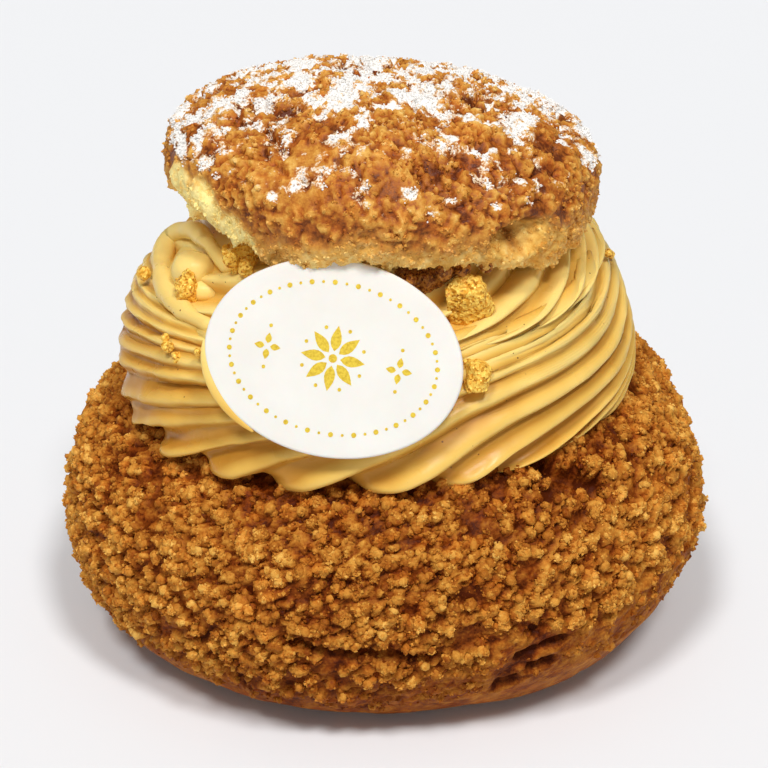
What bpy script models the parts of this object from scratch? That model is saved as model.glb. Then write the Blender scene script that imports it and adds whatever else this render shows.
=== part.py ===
"""Individual Paris-Brest pastry.

A choux bun is cut in two.  The lower half carries a piped swirl of praline cream, the upper half
sits on the cream as a lid, an oval plaque leans against the front of the cream, and praline
nuggets are stuck to it.

Lengths are metres, +Z is up and the front looks towards -Y.  The origin is the centre of the
flat underside of the bun.
"""

import math

import bmesh
import bpy
from mathutils import Euler, Matrix, Vector, noise

MM = 0.001
GAP = 0.3 * MM                     # clearance between touching pieces

# Lower half of the bun
BELLY_RADIUS = 39.8 * MM
BELLY_HEIGHT = 16.0 * MM
FOOT_RADIUS = 28.0 * MM
CUT_RADIUS = 31.4 * MM
CUT_HEIGHT = 32.0 * MM
CUT_SLOPE = 0.045                  # the cut rises towards +X
FOOT_FULLNESS = 0.62
SHOULDER_POWER = 3.0
PLAN_POWER = 2.2                   # above 2 the plan is slightly squared
PLAN_DEPTH = 0.93                  # the plan is a little shorter from front to back
BUN_SIDES = 64
BUN_LEVELS = 13

# Praline cream swirl
SWIRL_RADIUS = 31.1 * MM
SWIRL_WIDEST = 37.5 * MM           # height of the widest level
SWIRL_DOME = 20.5 * MM             # rise from the widest level to where the dome would close
SWIRL_TUCK = 0.7 * MM              # the foot of the swirl is drawn in by this much
SWIRL_TOP = 57.0 * MM
SWIRL_OFFSET = -0.8 * MM           # the swirl sits slightly towards -X
RIDGES = 24
RIDGE_DEPTH = 1.7 * MM
RIDGE_SAMPLES = 6
SWIRL_LEVELS = 14
TWIST_START = math.radians(3.0) / MM     # turn of the ridges per height at the foot
TWIST_FULL = math.radians(5.8) / MM      # and from the widest level upwards

# Upper half of the bun, the lid, in its own frame: origin at the centre of its widest level
LID_RADIUS = 25.7 * MM
LID_RISE = 10.2 * MM
LID_DOME_POWER = 2.3
LID_RIM_RADIUS = 23.2 * MM
LID_RIM_DROP = 6.4 * MM
LID_RIM_WAVE = 0.8 * MM
LID_MOUTH_RADIUS = 19.5 * MM
LID_HOLLOW = 3.2 * MM              # the torn underside is cupped to this depth below the origin
LID_CENTRE = Vector((0.0, 0.0, 59.3 * MM))
LID_TILT = Euler((math.radians(-4.0), math.radians(4.0), 0.0))
LID_LEVELS = 9

# Oval plaque, in its own frame: flat in XY with its face towards +Z
PLAQUE_LENGTH = 28.8 * MM
PLAQUE_WIDTH = 21.8 * MM
PLAQUE_THICKNESS = 0.9 * MM
PLAQUE_EDGE = 0.3 * MM             # rounding of the edge
PLAQUE_SIDES = 56
PLAQUE_CENTRE = Vector((-5.6, -27.6, 47.2)) * MM
PLAQUE_LEAN = math.radians(26.0)   # the face looks up by this angle
PLAQUE_TURN = math.radians(-7.0)   # and towards -X by this angle
PLAQUE_ROLL = math.radians(-7.7)
PRESS_DEPTH = 6.0 * MM             # the cream in front of the plaque is pressed away this far

# Praline nuggets: angle from the front towards +X, height, depth of the centre under the
# swirl's crests, mean radius, stretch along the three axes
NUGGETS = {
    "nugget_front_large": (23.0, 51.4, -0.5, 2.75, (1.0, 0.8, 1.05)),
    "nugget_front_dark": (13.0, 53.6, -0.6, 2.6, (1.3, 0.8, 0.95)),
    "nugget_front_low": (20.5, 44.6, 0.3, 1.95, (1.0, 0.75, 1.05)),
    "nugget_left_upper": (-52.0, 52.9, -0.6, 2.15, (1.15, 0.8, 0.9)),
    "nugget_left_middle": (-60.5, 48.6, -0.1, 1.7, (0.8, 0.75, 1.35)),
}

# Colour, roughness and metallic value of each material
CRUST = ((0.33, 0.12, 0.026), 0.75, 0.0)
CREAM = ((0.68, 0.41, 0.10), 0.42, 0.0)
LID_CRUST = ((0.49, 0.19, 0.045), 0.72, 0.0)
PLAQUE_WHITE = ((0.95, 0.93, 0.89), 0.3, 0.0)
GILT_PRALINE = ((0.62, 0.33, 0.05), 0.4, 0.35)
DARK_PRALINE = ((0.2, 0.06, 0.012), 0.45, 0.1)


def clear_scene():
    for obj in list(bpy.data.objects):
        bpy.data.objects.remove(obj)


def make_material(name, finish):
    colour, roughness, metallic = finish
    material = bpy.data.materials.new(name)
    material.use_nodes = True
    shader = material.node_tree.nodes["Principled BSDF"]
    shader.inputs["Base Color"].default_value = (*colour, 1.0)
    shader.inputs["Roughness"].default_value = roughness
    shader.inputs["Metallic"].default_value = metallic
    return material


def add_object(name, mesh, finish):
    mesh.materials.append(make_material(name + "_material", finish))
    obj = bpy.data.objects.new(name, mesh)
    bpy.context.scene.collection.objects.link(obj)
    return obj


def mesh_from_rings(name, rings, low_centre, high_centre):
    """Closed mesh through rings of equal length, with a fan to a centre point at each end.

    The rings run round +Z counter-clockwise and are listed from the underside to the top.
    """
    count = len(rings[0])
    points = [tuple(point) for ring in rings for point in ring]
    low = len(points)
    points += [tuple(low_centre), tuple(high_centre)]
    high = low + 1
    last = (len(rings) - 1) * count
    faces = []
    for side in range(count):
        turn = (side + 1) % count
        faces.append((low, turn, side))
        faces.append((high, last + side, last + turn))
        for level in range(len(rings) - 1):
            base = level * count
            faces.append((base + side, base + turn, base + count + turn, base + count + side))
    mesh = bpy.data.meshes.new(name)
    mesh.from_pydata(points, [], faces)
    mesh.shade_smooth()
    mesh.set_sharp_from_angle(angle=math.radians(55.0))
    return mesh


def cut_height(x):
    """Height of the sloping cut through the bun."""
    return CUT_HEIGHT + CUT_SLOPE * x


def bun_radius(angle, height):
    """Radius of the lower half: out from the foot to the belly, then in to the cut."""
    if height < BELLY_HEIGHT:
        rise = math.sin(math.pi / 2 * height / BELLY_HEIGHT) ** FOOT_FULLNESS
        radius = FOOT_RADIUS + (BELLY_RADIUS - FOOT_RADIUS) * rise
    else:
        fall = ((height - BELLY_HEIGHT) / (CUT_HEIGHT - BELLY_HEIGHT)) ** SHOULDER_POWER
        radius = BELLY_RADIUS - (BELLY_RADIUS - CUT_RADIUS) * fall
    corner = abs(math.cos(angle)) ** PLAN_POWER + abs(math.sin(angle)) ** PLAN_POWER
    level = height / CUT_HEIGHT
    lumps = (-0.012 * math.cos(angle) + 0.010 * math.sin(3 * angle - 0.9 + 0.8 * level)
             + 0.007 * math.sin(5 * angle - 1.1 - 2.0 * level)
             + 0.005 * math.sin(8 * angle + 2.3 + 3.0 * level))
    return radius * corner ** (-1 / PLAN_POWER) * (1 + lumps)


def build_bun():
    rings = []
    for level in range(BUN_LEVELS):
        # Levels crowd towards the foot, where the wall turns fastest.
        share = (level / (BUN_LEVELS - 1)) ** 1.35
        ring = []
        for side in range(BUN_SIDES):
            angle = 2 * math.pi * side / BUN_SIDES
            radius = bun_radius(angle, share * CUT_HEIGHT)
            x = radius * math.cos(angle)
            y = radius * math.sin(angle) * PLAN_DEPTH
            ring.append((x, y, share * cut_height(x)))
        rings.append(ring)
    mesh = mesh_from_rings("choux_base", rings, (0, 0, 0), (0, 0, CUT_HEIGHT))
    return add_object("choux_base", mesh, CRUST)


def swirl_crest_radius(height):
    """Radius of the swirl's crests: tucked in at the foot, then closing like a dome."""
    if height < SWIRL_WIDEST:
        share = (SWIRL_WIDEST - height) / (SWIRL_WIDEST - CUT_HEIGHT)
        return SWIRL_RADIUS - SWIRL_TUCK * share ** 2
    share = min((height - SWIRL_WIDEST) / SWIRL_DOME, 0.999)
    return SWIRL_RADIUS * math.sqrt(1 - share ** 2)


def swirl_twist(height):
    """Turn of the ridges between the foot and a height."""
    low = min(height, SWIRL_WIDEST) - CUT_HEIGHT
    high = max(height - SWIRL_WIDEST, 0.0)
    return TWIST_START * low + TWIST_FULL * high


def ridge_profile(share):
    """Relief across one ridge, 0 in the crease and 1 on the crest, steeper on one side."""
    return math.sin(math.pi * share ** 1.35) ** 0.75


def build_swirl():
    sides = RIDGES * RIDGE_SAMPLES
    rings = []
    for level in range(SWIRL_LEVELS):
        share = level / (SWIRL_LEVELS - 1)
        height = CUT_HEIGHT + GAP + share * (SWIRL_TOP - CUT_HEIGHT - GAP)
        crest = swirl_crest_radius(height)
        depth = RIDGE_DEPTH * (1 - 0.6 * share)
        ring = []
        for side in range(sides):
            angle = 2 * math.pi * side / sides + swirl_twist(height)
            relief = ridge_profile((side % RIDGE_SAMPLES) / RIDGE_SAMPLES)
            lump = 1 + 0.012 * math.sin(2 * angle + 0.6) + 0.010 * math.sin(5 * angle + 7 * share)
            radius = (crest - depth * (1 - relief)) * lump
            x = SWIRL_OFFSET + radius * math.cos(angle)
            slope = CUT_SLOPE * x * (1 - share)
            ring.append((x, radius * math.sin(angle), height + slope))
        rings.append(ring)
    foot = (0, 0, CUT_HEIGHT + GAP)
    mesh = mesh_from_rings("cream_swirl", rings, foot, (0, 0, SWIRL_TOP))
    return add_object("cream_swirl", mesh, CREAM)


def lid_mesh(name, grow=0.0):
    """The lid, or with grow a slightly larger copy that leaves clearance round it."""
    rings = []

    def add_ring(radius, height, wave, grow_out, grow_up):
        ring = []
        for side in range(BUN_SIDES):
            angle = 2 * math.pi * side / BUN_SIDES
            lumps = (0.016 * math.sin(2 * angle + 2.4) + 0.014 * math.sin(3 * angle - 0.7)
                     + 0.008 * math.sin(7 * angle + 1.9))
            out = radius * (1 + lumps) + grow * grow_out
            lift = wave * (math.sin(4 * angle + 0.5) + 0.7 * math.sin(9 * angle - 1.2))
            ring.append((out * math.cos(angle), out * math.sin(angle),
                         height + lift + grow * grow_up))
        rings.append(ring)

    add_ring(0.4 * LID_MOUTH_RADIUS, -LID_HOLLOW, 0.0, 0.0, -1.0)
    add_ring(LID_MOUTH_RADIUS, -LID_RIM_DROP + 1.6 * MM, 0.6 * LID_RIM_WAVE, -1.0, -1.0)
    add_ring(0.5 * (LID_MOUTH_RADIUS + LID_RIM_RADIUS), -LID_RIM_DROP, LID_RIM_WAVE, 0.0, -1.4)
    add_ring(LID_RIM_RADIUS, -LID_RIM_DROP + 0.7 * MM, LID_RIM_WAVE, 1.0, -0.7)
    add_ring(0.5 * (LID_RIM_RADIUS + LID_RADIUS) + 0.6 * MM, -0.5 * LID_RIM_DROP,
             0.5 * LID_RIM_WAVE, 1.4, 0.0)
    for level in range(LID_LEVELS):
        around = math.pi / 2 * level / LID_LEVELS
        radius = LID_RADIUS * math.cos(around) ** (2 / LID_DOME_POWER)
        height = LID_RISE * math.sin(around) ** (2 / LID_DOME_POWER)
        add_ring(radius, height, 0.0, math.cos(around), math.sin(around))
    return mesh_from_rings(name, rings, (0, 0, -LID_HOLLOW - grow), (0, 0, LID_RISE + grow))


def build_lid():
    lid = add_object("choux_lid", lid_mesh("choux_lid"), LID_CRUST)
    lid.location = LID_CENTRE
    lid.rotation_euler = LID_TILT
    return lid


def plaque_mesh(name, grow=0.0, forward=0.0):
    """Oval disc with a rounded edge, its face at local z = forward."""
    back = -PLAQUE_THICKNESS - grow
    front = grow + forward
    edge = PLAQUE_EDGE
    rings = []
    for inset, height in ((edge, back), (0.0, back + edge), (0.0, front - edge), (edge, front)):
        long_half = PLAQUE_LENGTH / 2 + grow - inset
        short_half = PLAQUE_WIDTH / 2 + grow - inset
        ring = []
        for side in range(PLAQUE_SIDES):
            angle = 2 * math.pi * side / PLAQUE_SIDES
            ring.append((long_half * math.cos(angle), short_half * math.sin(angle), height))
        rings.append(ring)
    return mesh_from_rings(name, rings, (0, 0, back), (0, 0, front))


def plaque_rotation():
    """Turns the face from +Z towards the front, then leans, turns and rolls it."""
    roll = Matrix.Rotation(PLAQUE_ROLL, 3, "Z")
    stand = Matrix.Rotation(math.pi / 2 - PLAQUE_LEAN, 3, "X")
    turn = Matrix.Rotation(PLAQUE_TURN, 3, "Z")
    return (turn @ stand @ roll).to_euler()


def build_plaque():
    plaque = add_object("oval_plaque", plaque_mesh("oval_plaque"), PLAQUE_WHITE)
    plaque.location = PLAQUE_CENTRE
    plaque.rotation_euler = plaque_rotation()
    return plaque


def nugget_mesh(name, radius, stretch, seed, grow=0.0):
    """Angular lump: a geodesic ball pushed in and out by noise."""
    mesh = bpy.data.meshes.new(name)
    ball = bmesh.new()
    bmesh.ops.create_icosphere(ball, subdivisions=2, radius=1.0)
    for vertex in ball.verts:
        direction = vertex.co.normalized()
        bump = noise.noise(direction * 1.3 + Vector((seed, 0, 0)))
        bump += 0.5 * noise.noise(direction * 2.9 + Vector((0, seed, 0)))
        size = radius * (1 + 0.32 * bump) + grow
        vertex.co = Vector(direction[axis] * stretch[axis] for axis in range(3)) * size
    ball.to_mesh(mesh)
    ball.free()
    return mesh


def nugget_location(angle, height, depth):
    radius = swirl_crest_radius(height) - depth
    return Vector((radius * math.sin(angle), -radius * math.cos(angle), height))


def build_nuggets():
    nuggets = []
    for seed, (name, (degrees, height, depth, size, stretch)) in enumerate(NUGGETS.items()):
        finish = DARK_PRALINE if "dark" in name else GILT_PRALINE
        place = nugget_location(math.radians(degrees), height * MM, depth * MM)
        nugget = add_object(name, nugget_mesh(name, size * MM, stretch, seed), finish)
        cutter = add_cutter(name, nugget_mesh(name, size * MM, stretch, seed, 1.35 * GAP))
        for obj in (nugget, cutter):
            obj.location = place
            obj.rotation_euler = (0, 0, math.radians(degrees))
        nuggets.append((nugget, cutter))
    return nuggets


def add_cutter(name, mesh):
    cutter = bpy.data.objects.new("cutter_" + name, mesh)
    cutter.hide_render = True
    cutter.display_type = "WIRE"
    bpy.context.scene.collection.objects.link(cutter)
    return cutter


def cut(target, cutter):
    """Takes the cutter's space out of the target."""
    modifier = target.modifiers.new("clear_" + cutter.name, "BOOLEAN")
    modifier.operation = "DIFFERENCE"
    modifier.solver = "EXACT"
    modifier.object = cutter


def main():
    clear_scene()
    build_bun()
    swirl = build_swirl()
    lid = build_lid()
    plaque = build_plaque()

    lid_cutter = add_cutter("lid", lid_mesh("lid_cutter", 1.2 * GAP))
    lid_cutter.location = lid.location
    lid_cutter.rotation_euler = lid.rotation_euler
    plaque_cutter = add_cutter("plaque", plaque_mesh("plaque_cutter", GAP))
    press_cutter = add_cutter("press", plaque_mesh("press_cutter", GAP, PRESS_DEPTH))
    for cutter in (plaque_cutter, press_cutter):
        cutter.location = plaque.location
        cutter.rotation_euler = plaque.rotation_euler

    cut(swirl, lid_cutter)
    cut(swirl, press_cutter)
    cut(lid, plaque_cutter)
    for nugget, cutter in build_nuggets():
        cut(swirl, cutter)
        cut(nugget, lid_cutter)
        cut(nugget, plaque_cutter)


main()
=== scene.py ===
"""Looks of an individual Paris-Brest pastry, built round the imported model.

The front is towards -Y and +X is to the right of it.  Bearings turn from the front towards +X.
Lengths are metres; MM is one millimetre.
"""

import math

import bmesh
import bpy
import numpy as np
from mathutils import Matrix, Vector
from mathutils.bvhtree import BVHTree


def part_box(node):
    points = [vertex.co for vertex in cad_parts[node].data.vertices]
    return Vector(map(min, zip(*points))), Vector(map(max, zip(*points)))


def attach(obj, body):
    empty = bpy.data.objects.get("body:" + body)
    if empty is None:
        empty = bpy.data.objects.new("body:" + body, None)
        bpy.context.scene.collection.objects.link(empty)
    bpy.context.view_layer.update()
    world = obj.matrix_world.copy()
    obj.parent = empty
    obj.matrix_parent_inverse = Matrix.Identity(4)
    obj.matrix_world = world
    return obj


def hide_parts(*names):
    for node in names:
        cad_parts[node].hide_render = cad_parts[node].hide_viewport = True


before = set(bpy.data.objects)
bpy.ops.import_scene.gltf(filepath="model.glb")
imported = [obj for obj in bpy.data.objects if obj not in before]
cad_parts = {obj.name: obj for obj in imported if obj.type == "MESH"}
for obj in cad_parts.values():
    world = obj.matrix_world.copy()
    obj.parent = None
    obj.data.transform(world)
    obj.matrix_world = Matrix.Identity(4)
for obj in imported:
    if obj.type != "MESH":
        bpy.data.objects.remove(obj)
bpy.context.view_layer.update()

MM = 0.001
rng = np.random.default_rng(2407)


# ---------------------------------------------------------------- noise

def hashed(cells, seed):
    """A random number from 0 to 1 for each integer lattice cell."""
    x, y, z = (cells[..., axis].astype(np.uint64) for axis in range(3))
    value = x * np.uint64(73856093) ^ y * np.uint64(19349663) ^ z * np.uint64(83492791)
    value ^= np.uint64((seed + 1) * 2654435761)
    for _ in range(2):
        value ^= value >> np.uint64(29)
        value *= np.uint64(0xBF58476D1CE4E5B9)
    value ^= value >> np.uint64(32)
    return (value & np.uint64(0xFFFFFF)).astype(float) / 0x1000000


def noise(points, size, seed):
    """Smooth noise from -1 to 1 with features of the given size."""
    scaled = points / size
    corner = np.floor(scaled)
    part = scaled - corner
    part = part * part * (3 - 2 * part)
    corner = corner.astype(np.int64)
    total = 0.0
    for offset in np.ndindex(2, 2, 2):
        weight = np.prod(np.where(offset, part, 1 - part), axis=-1)
        total = total + weight * hashed(corner + np.array(offset), seed)
    return 2 * total - 1


def fractal(points, size, seed, octaves=3):
    """Sum of noise at halving sizes and strengths."""
    total = 0.0
    for octave in range(octaves):
        total = total + noise(points, size / 2 ** octave, seed + 17 * octave) / 2 ** octave
    return total


def warped(points, size, reach, seed):
    """Points shifted about by noise."""
    shift = [noise(points, size, seed + axis) for axis in range(3)]
    return points + reach * np.stack(shift, axis=-1)


def cellular(points, size, seed):
    """Distances to the nearest and next of scattered points, and the nearest one's number."""
    scaled = points / size
    home = np.floor(scaled).astype(np.int64)
    first = np.full(points.shape[:-1], 9.0)
    second = first.copy()
    number = np.zeros_like(first)
    for offset in np.ndindex(3, 3, 3):
        cell = home + np.array(offset) - 1
        spot = cell + np.stack([hashed(cell, seed + axis) for axis in range(3)], axis=-1)
        distance = np.linalg.norm(spot - scaled, axis=-1)
        closer = distance < first
        second = np.where(closer, first, np.minimum(second, distance))
        number = np.where(closer, hashed(cell, seed + 3), number)
        first = np.minimum(first, distance)
    return first * size, second * size, number


def ramp(value, low, high):
    """0 at low, 1 at high, smooth between; low may be above high."""
    share = np.clip((value - low) / (high - low), 0.0, 1.0)
    return share * share * (3 - 2 * share)


def dome(distance, radius):
    """Height from 0 to 1 of a half ball of the given radius."""
    return np.sqrt(np.clip(1 - (distance / radius) ** 2, 0.0, 1.0))


# ---------------------------------------------------------------- meshes

def unit(vectors):
    return vectors / np.maximum(np.linalg.norm(vectors, axis=-1, keepdims=True), 1e-12)


def ball(subdivisions):
    """Points and triangles of a unit geodesic ball."""
    shape = bmesh.new()
    bmesh.ops.create_icosphere(shape, subdivisions=subdivisions, radius=1.0)
    points = np.array([tuple(v.co) for v in shape.verts])
    faces = np.array([[v.index for v in f.verts] for f in shape.faces])
    shape.free()
    return points, faces


def octahedron():
    points = np.array([(1, 0, 0), (-1, 0, 0), (0, 1, 0), (0, -1, 0), (0, 0, 1), (0, 0, -1)], float)
    faces = np.array([(0, 2, 4), (2, 1, 4), (1, 3, 4), (3, 0, 4),
                      (2, 0, 5), (1, 2, 5), (3, 1, 5), (0, 3, 5)])
    return points, faces


def band_faces(levels, sides):
    """Triangles of a closed band of rows, with a point under the first and over the last row."""
    index = np.arange(levels * sides).reshape(levels, sides)
    low, high = index[:-1], index[1:]
    low_next, high_next = np.roll(low, -1, 1), np.roll(high, -1, 1)
    faces = [np.stack([low, low_next, high_next], -1), np.stack([low, high_next, high], -1)]
    first, last = index[:1], index[-1:]
    bottom, top = np.full_like(first, levels * sides), np.full_like(first, levels * sides + 1)
    faces.append(np.stack([bottom, np.roll(first, -1, 1), first], -1))
    faces.append(np.stack([top, last, np.roll(last, -1, 1)], -1))
    return np.concatenate([part.reshape(-1, 3) for part in faces])


def band_directions(levels, sides, low, high):
    """Directions from a centre, by rows of rising elevation, then straight down and up."""
    bearing = 2 * math.pi * np.arange(sides) / sides
    rise = np.linspace(low, high, levels)[:, None]
    rows = np.stack([np.sin(bearing) * np.cos(rise), -np.cos(bearing) * np.cos(rise),
                     np.sin(rise) + 0 * bearing], axis=-1)
    return np.vstack([rows.reshape(-1, 3), (0, 0, -1), (0, 0, 1)])


def edges_of(faces):
    pairs = np.concatenate([faces[:, [0, 1]], faces[:, [1, 2]], faces[:, [2, 0]]])
    return np.unique(np.sort(pairs, axis=1), axis=0)


def soften(values, faces, passes):
    """Blurs a value over the neighbours of each point."""
    ends = edges_of(faces)
    one, other = np.concatenate([ends, ends[:, ::-1]]).T
    count = np.bincount(one, minlength=len(values))
    for _ in range(passes):
        values = 0.5 * values + 0.5 * np.bincount(one, values[other], len(values)) / count
    return values


def normals_of(points, faces):
    corner = points[faces]
    cross = np.cross(corner[:, 1] - corner[:, 0], corner[:, 2] - corner[:, 0])
    index = faces.ravel()
    total = [np.bincount(index, np.repeat(cross[:, axis], 3), len(points)) for axis in range(3)]
    return unit(np.stack(total, axis=-1))


def tree_of(mesh):
    return BVHTree.FromPolygons([v.co.copy() for v in mesh.vertices],
                                [tuple(p.vertices) for p in mesh.polygons])


def skin_of(node, directions, faces, passes):
    """Points on a CAD node's outermost surface in each direction from its box's centre."""
    low, high = (np.array(corner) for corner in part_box(node))
    centre = (low + high) / 2
    reach = np.linalg.norm(high - low)
    tree = tree_of(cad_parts[node].data)
    distance = np.zeros(len(directions))
    for index, ray in enumerate(directions):
        hit = tree.ray_cast(Vector(centre + ray * reach), Vector(-ray))
        distance[index] = reach - hit[3]
    distance = soften(distance, faces, passes)
    return centre + directions * distance[:, None]


def make_mesh(name, points, faces, smooth=True, **attributes):
    """Mesh of triangles; each attribute holds one number a point."""
    mesh = bpy.data.meshes.new(name)
    mesh.vertices.add(len(points))
    mesh.vertices.foreach_set("co", np.asarray(points, np.float32).ravel())
    mesh.loops.add(faces.size)
    mesh.loops.foreach_set("vertex_index", np.asarray(faces, np.int32).ravel())
    mesh.polygons.add(len(faces))
    mesh.polygons.foreach_set("loop_start", np.arange(0, faces.size, 3, dtype=np.int32))
    for key, values in attributes.items():
        layer = mesh.attributes.new(key, "FLOAT", "POINT")
        layer.data.foreach_set("value", np.asarray(values, np.float32))
    mesh.update(calc_edges=True)
    if smooth:
        mesh.shade_smooth()
    else:
        mesh.shade_flat()
    return mesh


def add_piece(mesh, material, node=None):
    mesh.materials.append(material)
    piece = bpy.data.objects.new(mesh.name, mesh)
    bpy.context.scene.collection.objects.link(piece)
    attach(piece, "root")
    if node:
        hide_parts(node)


def random_turns(count):
    """Rotation matrices spread evenly over all turns."""
    w, x, y, z = unit(rng.normal(size=(count, 4))).T
    return np.stack([
        1 - 2 * (y * y + z * z), 2 * (x * y - z * w), 2 * (x * z + y * w),
        2 * (x * y + z * w), 1 - 2 * (x * x + z * z), 2 * (y * z - x * w),
        2 * (x * z - y * w), 2 * (y * z + x * w), 1 - 2 * (x * x + y * y),
    ], axis=-1).reshape(count, 3, 3)


def lumps(centres, radii, shape, roughness=0.25):
    """Points and triangles of many small uneven lumps of one shape."""
    points, faces = shape
    count = len(centres)
    stretch = 1 + rng.uniform(-0.3, 0.3, size=(count, 1, 3))
    knobs = 1 + roughness * rng.uniform(-1, 1, size=(count, len(points), 1))
    placed = points * stretch * knobs * radii[:, None, None]
    placed = np.einsum("nij,nkj->nki", random_turns(count), placed) + centres[:, None]
    all_faces = faces + len(points) * np.arange(count)[:, None, None]
    return placed.reshape(-1, 3), all_faces.reshape(-1, 3)


def scatter(points, faces, weight, count):
    """Random places spread over triangles by area times the weight at their corners.

    Returns the corners of each chosen triangle and how much each of them counts.
    """
    corner = points[faces]
    area = np.linalg.norm(np.cross(corner[:, 1] - corner[:, 0], corner[:, 2] - corner[:, 0]),
                          axis=-1)
    chance = area * np.maximum(weight[faces].mean(axis=1), 0)
    chosen = faces[rng.choice(len(faces), size=count, p=chance / chance.sum())]
    share = rng.dirichlet((1, 1, 1), size=count)
    return chosen, share


def blend(values, chosen, share):
    """Value at scattered places, from the values at the corners round them."""
    picked = values[chosen]
    if picked.ndim == 3:
        return (picked * share[..., None]).sum(axis=1)
    return (picked * share).sum(axis=1)


# ---------------------------------------------------------------- materials

class Shader:
    """A Principled material with short ways to add procedural nodes."""

    def __init__(self, name, **settings):
        self.material = bpy.data.materials.new(name)
        self.material.use_nodes = True
        self.tree = self.material.node_tree
        self.surface = self.tree.nodes["Principled BSDF"]
        for key, value in settings.items():
            self.surface.inputs[key.replace("_", " ")].default_value = value

    def add(self, kind, **inputs):
        node = self.tree.nodes.new(kind)
        for key, value in inputs.items():
            self.set(node.inputs[key], value)
        return node

    def set(self, socket, value):
        if isinstance(value, bpy.types.NodeSocket):
            self.tree.links.new(value, socket)
        elif isinstance(value, tuple) and len(value) == 3 and socket.type == "RGBA":
            socket.default_value = (*value, 1.0)
        else:
            socket.default_value = value

    def put(self, key, value):
        self.set(self.surface.inputs[key], value)

    def place(self):
        return self.add("ShaderNodeTexCoord").outputs["Object"]

    def noise(self, size, detail=3.0, roughness=0.55):
        node = self.add("ShaderNodeTexNoise", Scale=1 / size, Detail=detail,
                        Roughness=roughness, Vector=self.place())
        return node.outputs["Fac"]

    def cells(self, size, output="Distance"):
        node = self.add("ShaderNodeTexVoronoi", Scale=1 / size, Vector=self.place())
        return node.outputs[output]

    def attribute(self, key):
        node = self.add("ShaderNodeAttribute")
        node.attribute_name = key
        return node.outputs["Fac"]

    def maths(self, operation, *values, clamp=False):
        node = self.add("ShaderNodeMath")
        node.operation = operation
        node.use_clamp = clamp
        for socket, value in zip(node.inputs, values):
            self.set(socket, value)
        return node.outputs[0]

    def around(self, value, strength):
        """Value about zero from a value about a half."""
        return self.maths("MULTIPLY", self.maths("SUBTRACT", value, 0.5), strength)

    def total(self, *values):
        result = values[0]
        for value in values[1:]:
            result = self.maths("ADD", result, value)
        return result

    def step(self, value, low, high):
        """0 below low and 1 above high; low may be above high."""
        node = self.add("ShaderNodeMapRange", Value=value)
        node.inputs["From Min"].default_value = low
        node.inputs["From Max"].default_value = high
        node.interpolation_type = "SMOOTHSTEP"
        return node.outputs["Result"]

    def ramp(self, value, *stops):
        """Colours along a value; each stop is a position and a linear colour."""
        node = self.add("ShaderNodeValToRGB", Fac=value)
        elements = node.color_ramp.elements
        while len(elements) < len(stops):
            elements.new(0.5)
        for element, (position, colour) in zip(elements, stops):
            element.position = position
            element.color = (*colour, 1.0)
        return node.outputs["Color"]

    def mix(self, share, first, second, blend_type="MIX"):
        node = self.add("ShaderNodeMix")
        node.data_type = "RGBA"
        node.blend_type = blend_type
        for key, value in (("Factor", share), ("A", first), ("B", second)):
            socket = next(s for s in node.inputs if s.name == key and s.enabled)
            self.set(socket, value)
        return next(s for s in node.outputs if s.enabled)

    def bump(self, height, distance, strength=1.0):
        node = self.add("ShaderNodeBump", Height=height, Distance=distance, Strength=strength)
        self.put("Normal", node.outputs["Normal"])


def crust_shader(name, stops, gloss, sugared=False):
    """Baked craquelin: crevices dark from skin colour and painted shade, granules golden, tint uneven."""
    shader = Shader(name, Specular_IOR_Level=gloss)
    grain = shader.noise(0.35 * MM, 2.0, 0.6)
    depth = shader.total(shader.attribute("relief"),
                         shader.around(grain, 0.55),
                         shader.around(shader.noise(1.3 * MM), 0.35),
                         shader.around(shader.noise(9 * MM, 2.0), 0.35),
                         shader.around(shader.attribute("tint"), 0.30))
    colour = shader.ramp(depth, *stops)
    reddish = shader.step(shader.noise(2.4 * MM, 3.0), 0.45, 0.7)
    colour = shader.mix(shader.maths("MULTIPLY", reddish, 0.6), colour, (1.0, 0.70, 0.45),
                        "MULTIPLY")
    if sugared:
        facing = shader.add("ShaderNodeSeparateXYZ",
                            Vector=shader.add("ShaderNodeNewGeometry").outputs["Normal"])
        speckle = shader.total(shader.attribute("sugar"),
                               shader.around(shader.noise(0.30 * MM, 2.0), 0.7),
                               shader.maths("MULTIPLY", facing.outputs["Z"], 0.25))
        dusted = shader.maths("MULTIPLY", shader.step(speckle, 0.58, 0.70), 0.75)
        colour = shader.mix(dusted, colour, (0.86, 0.64, 0.38))
        colour = shader.mix(shader.step(speckle, 0.67, 0.82), colour, (0.93, 0.90, 0.86))
        inside = shader.total(shader.noise(0.8 * MM), shader.maths("MULTIPLY", shader.attribute("relief"), 0.5))
        crumb = shader.ramp(inside, *CRUMB_STOPS)
        colour = shader.mix(shader.attribute("torn"), colour, crumb)
    shader.put("Base Color", colour)
    dull = shader.total(shader.maths("MULTIPLY", grain, 0.5),
                        shader.maths("MULTIPLY_ADD", shader.attribute("relief"), 0.30, 0.22))
    shader.put("Roughness", dull)
    shader.bump(grain, 0.12 * MM, 0.9)
    return shader.material


# ---------------------------------------------------------------- crust relief

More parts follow.
